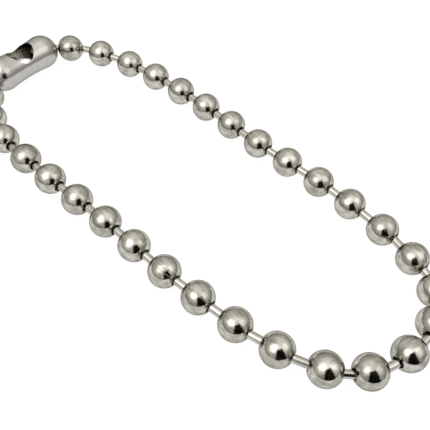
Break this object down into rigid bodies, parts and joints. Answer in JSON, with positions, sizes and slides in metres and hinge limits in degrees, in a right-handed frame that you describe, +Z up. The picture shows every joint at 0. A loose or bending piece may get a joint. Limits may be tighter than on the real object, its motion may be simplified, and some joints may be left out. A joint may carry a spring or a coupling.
{
  "type": "ball chain necklace",
  "caption": "Ball chain necklace: hollow polished beads joined by short rods with domed ends, closed by a windowed sleeve clasp, lying flat in a long rounded loop.",
  "frame": {"origin": "on the table, in the middle of the box round the necklace as it lies", "axes": "+X along the loop's long side, away from the clasp; +Y across the loop, towards the stretch that lies furthest from the camera; +Z up from the table"},
  "size_m": [0.1854, 0.0715, 0.0126],
  "materials": {
    "bead_steel": "mirror polished, with a fine seam and light scuffs",
    "rod_steel": "polished, drawn wire",
    "clasp_steel": "mirror polished outside, duller inside"
  },
  "bodies": {
    "root": {"bead_01": "bead_steel", "bead_02": "bead_steel", "bead_03": "bead_steel", "bead_04": "bead_steel", "bead_05": "bead_steel", "bead_06": "bead_steel", "bead_07": "bead_steel", "bead_08": "bead_steel", "bead_09": "bead_steel", "bead_10": "bead_steel", "bead_11": "bead_steel", "bead_12": "bead_steel", "bead_13": "bead_steel", "bead_14": "bead_steel", "bead_15": "bead_steel", "bead_16": "bead_steel", "bead_17": "bead_steel", "bead_18": "bead_steel", "bead_19": "bead_steel", "bead_20": "bead_steel", "bead_21": "bead_steel", "bead_22": "bead_steel", "bead_23": "bead_steel", "bead_24": "bead_steel", "bead_25": "bead_steel", "bead_26": "bead_steel", "bead_27": "bead_steel", "bead_28": "bead_steel", "bead_29": "bead_steel", "bead_30": "bead_steel", "bead_31": "bead_steel", "bead_32": "bead_steel", "rods": "rod_steel", "clasp": "clasp_steel"}
  },
  "joints": []
}
